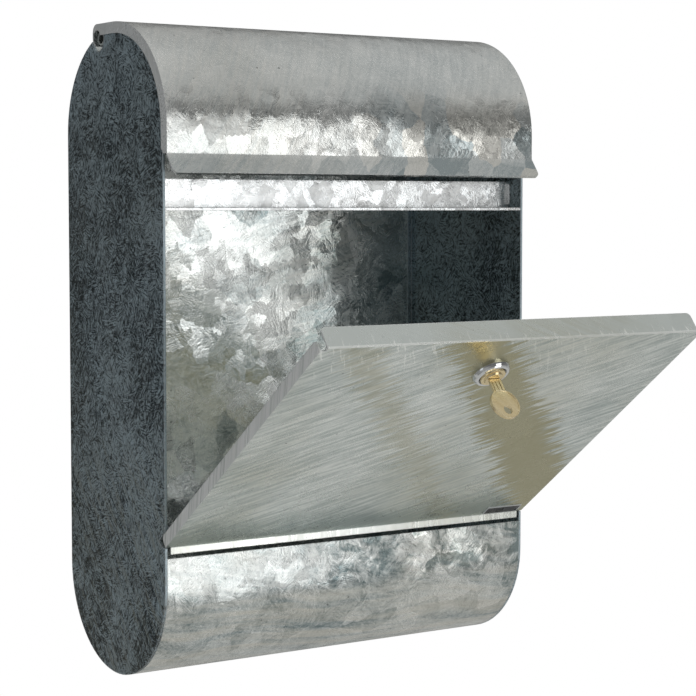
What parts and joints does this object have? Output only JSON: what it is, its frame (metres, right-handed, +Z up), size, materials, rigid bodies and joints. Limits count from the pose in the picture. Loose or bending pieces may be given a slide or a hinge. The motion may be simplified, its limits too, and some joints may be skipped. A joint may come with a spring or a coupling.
{
  "type": "wall mounted mailbox",
  "caption": "Galvanised steel wall mailbox with rounded side panels, a hinged roof lid over the mail slot and a bottom-hinged front door with a cam lock and key.",
  "frame": {"origin": "middle of the four wall holes, on the back face", "axes": "+X to the right seen from the front, +Y into the wall, +Z up; the front and the open door face -Y"},
  "size_m": [0.37, 0.4021, 0.5455],
  "materials": {
    "side_sheet": "galvanised, mottled",
    "wrap_sheet": "galvanised, spangled",
    "crossbar_sheet": "galvanised, spangled",
    "lid_sheet": "galvanised, satin",
    "door_sheet": "galvanised, streaked",
    "bracket_steel": "zinc plated",
    "pin_steel": "zinc plated",
    "label": "gloss, blank",
    "zinc_casting": "die cast, satin",
    "bezel_chrome": "polished",
    "nut_steel": "zinc plated",
    "plug_brass": "machined",
    "wafer_brass": "stamped",
    "spring_steel": "drawn wire",
    "cam_steel": "zinc plated",
    "key_brass": "polished, worn"
  },
  "bodies": {
    "cabinet": {"left_side_panel": "side_sheet", "right_side_panel": "side_sheet", "body_wrap": "wrap_sheet", "slot_crossbar": "crossbar_sheet", "hinge_bracket_left": "bracket_steel", "hinge_bracket_right": "bracket_steel", "hinge_pins": "pin_steel"},
    "lid": {"lid": "lid_sheet"},
    "door": {"door_panel": "door_sheet", "door_ear_left": "bracket_steel", "door_ear_right": "bracket_steel", "label_plate": "label", "lock_housing": "zinc_casting", "lock_bezel": "bezel_chrome", "lock_nut": "nut_steel"},
    "lock_rotor": {"lock_plug": "plug_brass", "lock_wafers": "wafer_brass", "wafer_springs": "spring_steel", "lock_cam": "cam_steel", "cam_washer": "nut_steel", "cam_screw": "pin_steel"},
    "key": {"key": "key_brass"}
  },
  "joints": [
    {"name": "lid_hinge", "type": "hinge", "parent": "cabinet", "child": "lid", "pos_m": [0, -0.06016, 0.23378], "axis": [-1, 0, 0], "range_deg": [0, 70]},
    {"name": "door_hinge", "type": "hinge", "parent": "cabinet", "child": "door", "pos_m": [0, -0.1695, -0.1682], "axis": [1, 0, 0], "range_deg": [-53, 0]},
    {"name": "lock_turn", "type": "hinge", "parent": "door", "child": "lock_rotor", "pos_m": [-0.006, -0.36723, -0.03297], "axis": [0, -0.6018, -0.7986], "range_deg": [0, 90]},
    {"name": "key_slide", "type": "slide", "parent": "lock_rotor", "child": "key", "axis": [0, -0.6018, -0.7986], "range_m": [0, 0.03]}
  ]
}
